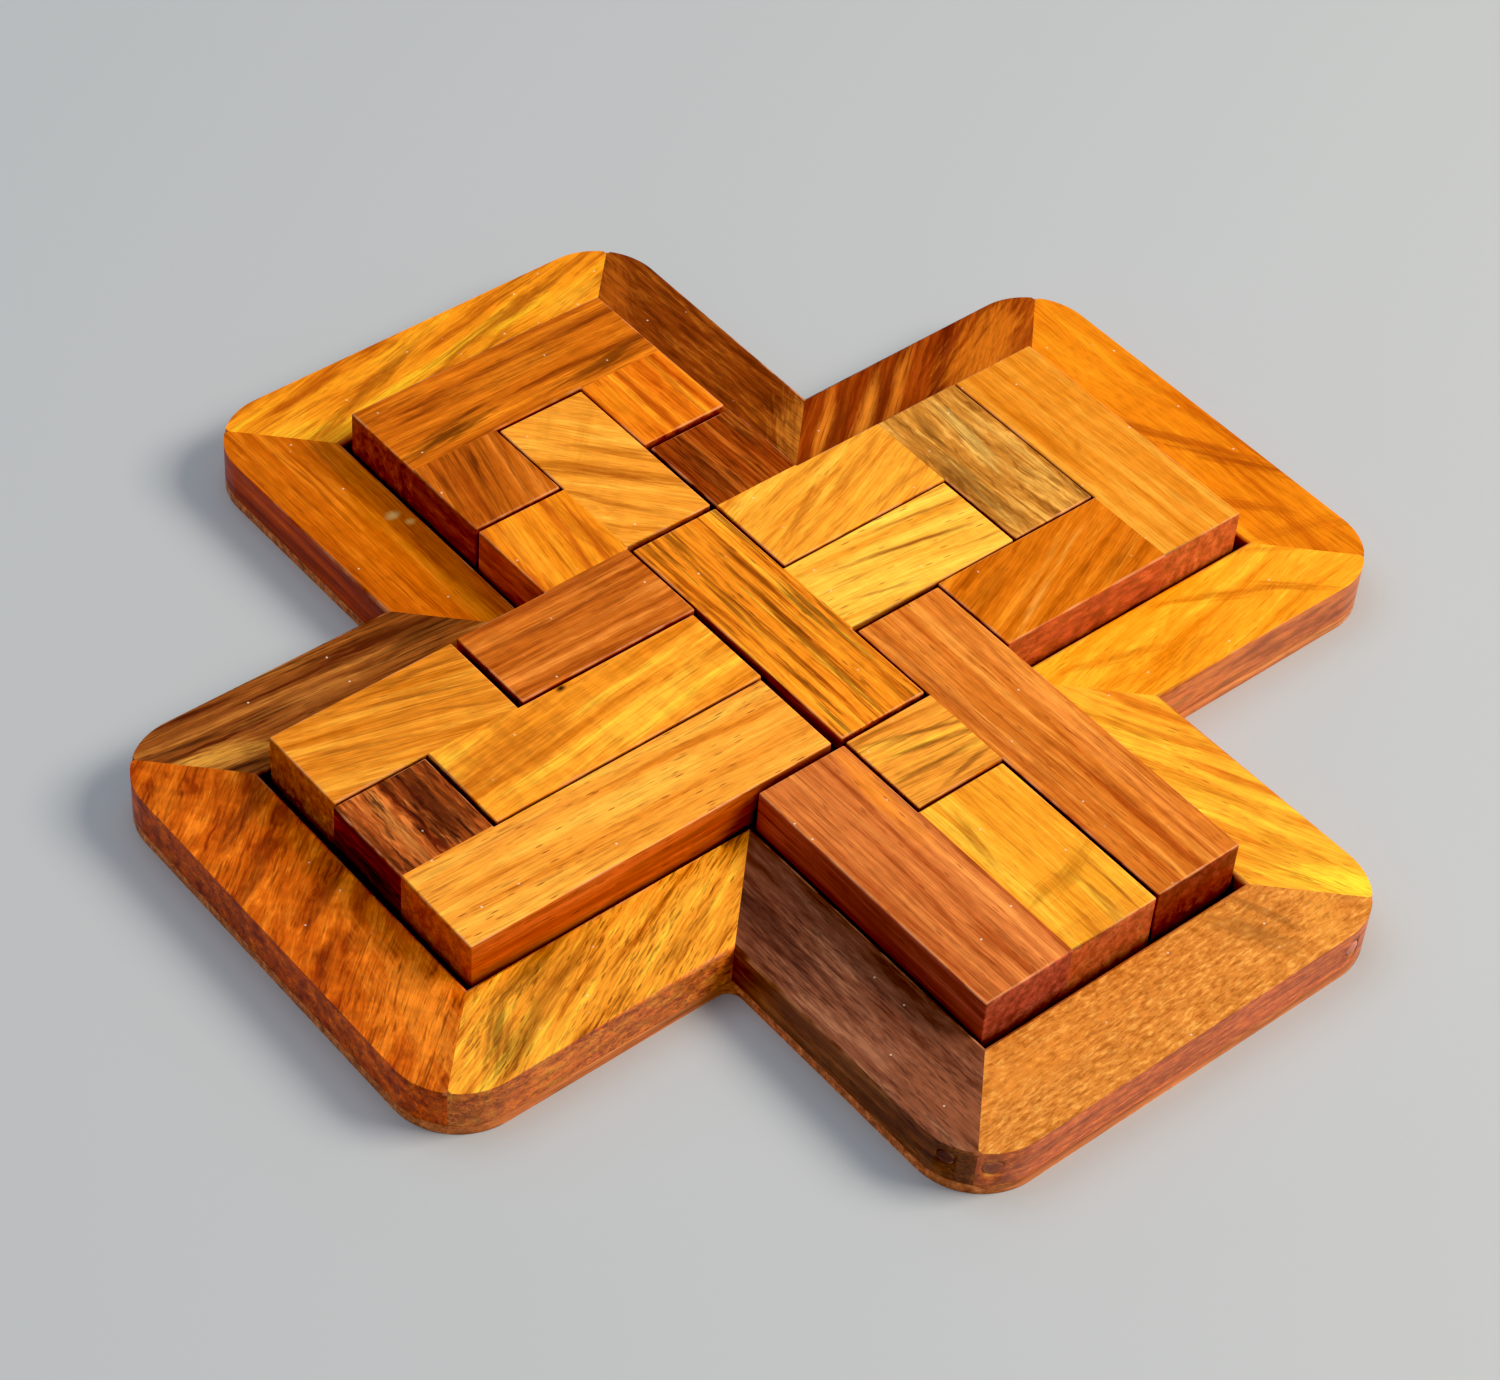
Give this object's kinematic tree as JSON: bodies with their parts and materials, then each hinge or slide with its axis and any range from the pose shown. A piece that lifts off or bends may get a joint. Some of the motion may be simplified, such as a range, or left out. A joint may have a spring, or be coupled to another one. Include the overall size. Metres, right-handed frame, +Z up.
{
  "type": "cross-shaped tray puzzle",
  "caption": "Wooden tray puzzle: loose five-square pieces, each glued up from bars, fill a cross-shaped frame of mitred rails on a thin base board.",
  "frame": {"origin": "centre of the base board's underside", "axes": "+Z up out of the tray, +X along the right arm and +Y along the back arm"},
  "size_m": [0.226, 0.226, 0.0198],
  "materials": {
    "golden_monkeypod": "waxed satin, straight golden grain with short dark pores",
    "pale_monkeypod": "waxed satin, light golden with slanting brown streaks",
    "amber_monkeypod": "waxed satin, orange brown with rippled figure",
    "red_rosewood": "waxed satin, reddish brown with fine darker streaks",
    "dark_rosewood": "waxed satin, very dark brown with lighter flecks",
    "zebra_rosewood": "waxed satin, dark brown and gold stripes",
    "olive_walnut": "waxed satin, olive brown with dark streaks",
    "board_plywood": "waxed satin reddish brown sheet",
    "plug_filler": "dull pale pinkish brown end grain"
  },
  "bodies": {
    "tray": {"base_board": "board_plywood", "back_arm_end_rail": "amber_monkeypod", "back_arm_left_rail": "red_rosewood", "back_arm_right_rail": "dark_rosewood", "left_arm_end_rail": "amber_monkeypod", "left_arm_back_rail": "zebra_rosewood", "left_arm_front_rail": "golden_monkeypod", "right_arm_end_rail": "amber_monkeypod", "right_arm_back_rail": "zebra_rosewood", "right_arm_front_rail": "golden_monkeypod", "front_arm_end_rail": "pale_monkeypod", "front_arm_left_rail": "dark_rosewood", "front_arm_right_rail": "golden_monkeypod", "front_arm_end_left_plug": "plug_filler", "front_arm_end_right_plug": "plug_filler", "front_arm_left_plug": "plug_filler"},
    "u_piece": {"u_back_bar": "red_rosewood", "u_left_block": "red_rosewood", "u_right_block": "amber_monkeypod"},
    "w_piece": {"w_back_bar": "pale_monkeypod", "w_middle_block": "golden_monkeypod", "w_front_bar": "red_rosewood"},
    "t_piece": {"t_cross_bar": "golden_monkeypod", "t_stem_bar": "pale_monkeypod"},
    "z_piece": {"z_back_block": "dark_rosewood", "z_middle_bar": "pale_monkeypod", "z_right_bar": "olive_walnut"},
    "v_piece": {"v_right_bar": "golden_monkeypod", "v_front_bar": "amber_monkeypod"},
    "y_piece": {"y_long_bar": "red_rosewood", "y_side_block": "golden_monkeypod"},
    "p_piece": {"p_long_bar": "red_rosewood", "p_short_bar": "golden_monkeypod"},
    "l_piece": {"l_long_bar": "golden_monkeypod", "l_end_block": "dark_rosewood"},
    "n_piece": {"n_back_bar": "pale_monkeypod", "n_front_bar": "golden_monkeypod"}
  },
  "joints": [
    {"name": "u_lift", "type": "slide", "parent": "tray", "child": "u_piece", "axis": [0, 0, 1], "range_m": [0, 0.03]},
    {"name": "w_lift", "type": "slide", "parent": "tray", "child": "w_piece", "axis": [0, 0, 1], "range_m": [0, 0.03]},
    {"name": "t_lift", "type": "slide", "parent": "tray", "child": "t_piece", "axis": [0, 0, 1], "range_m": [0, 0.03]},
    {"name": "z_lift", "type": "slide", "parent": "tray", "child": "z_piece", "axis": [0, 0, 1], "range_m": [0, 0.03]},
    {"name": "v_lift", "type": "slide", "parent": "tray", "child": "v_piece", "axis": [0, 0, 1], "range_m": [0, 0.03]},
    {"name": "y_lift", "type": "slide", "parent": "tray", "child": "y_piece", "axis": [0, 0, 1], "range_m": [0, 0.03]},
    {"name": "p_lift", "type": "slide", "parent": "tray", "child": "p_piece", "axis": [0, 0, 1], "range_m": [0, 0.03]},
    {"name": "l_lift", "type": "slide", "parent": "tray", "child": "l_piece", "axis": [0, 0, 1], "range_m": [0, 0.03]},
    {"name": "n_lift", "type": "slide", "parent": "tray", "child": "n_piece", "axis": [0, 0, 1], "range_m": [0, 0.03]}
  ]
}
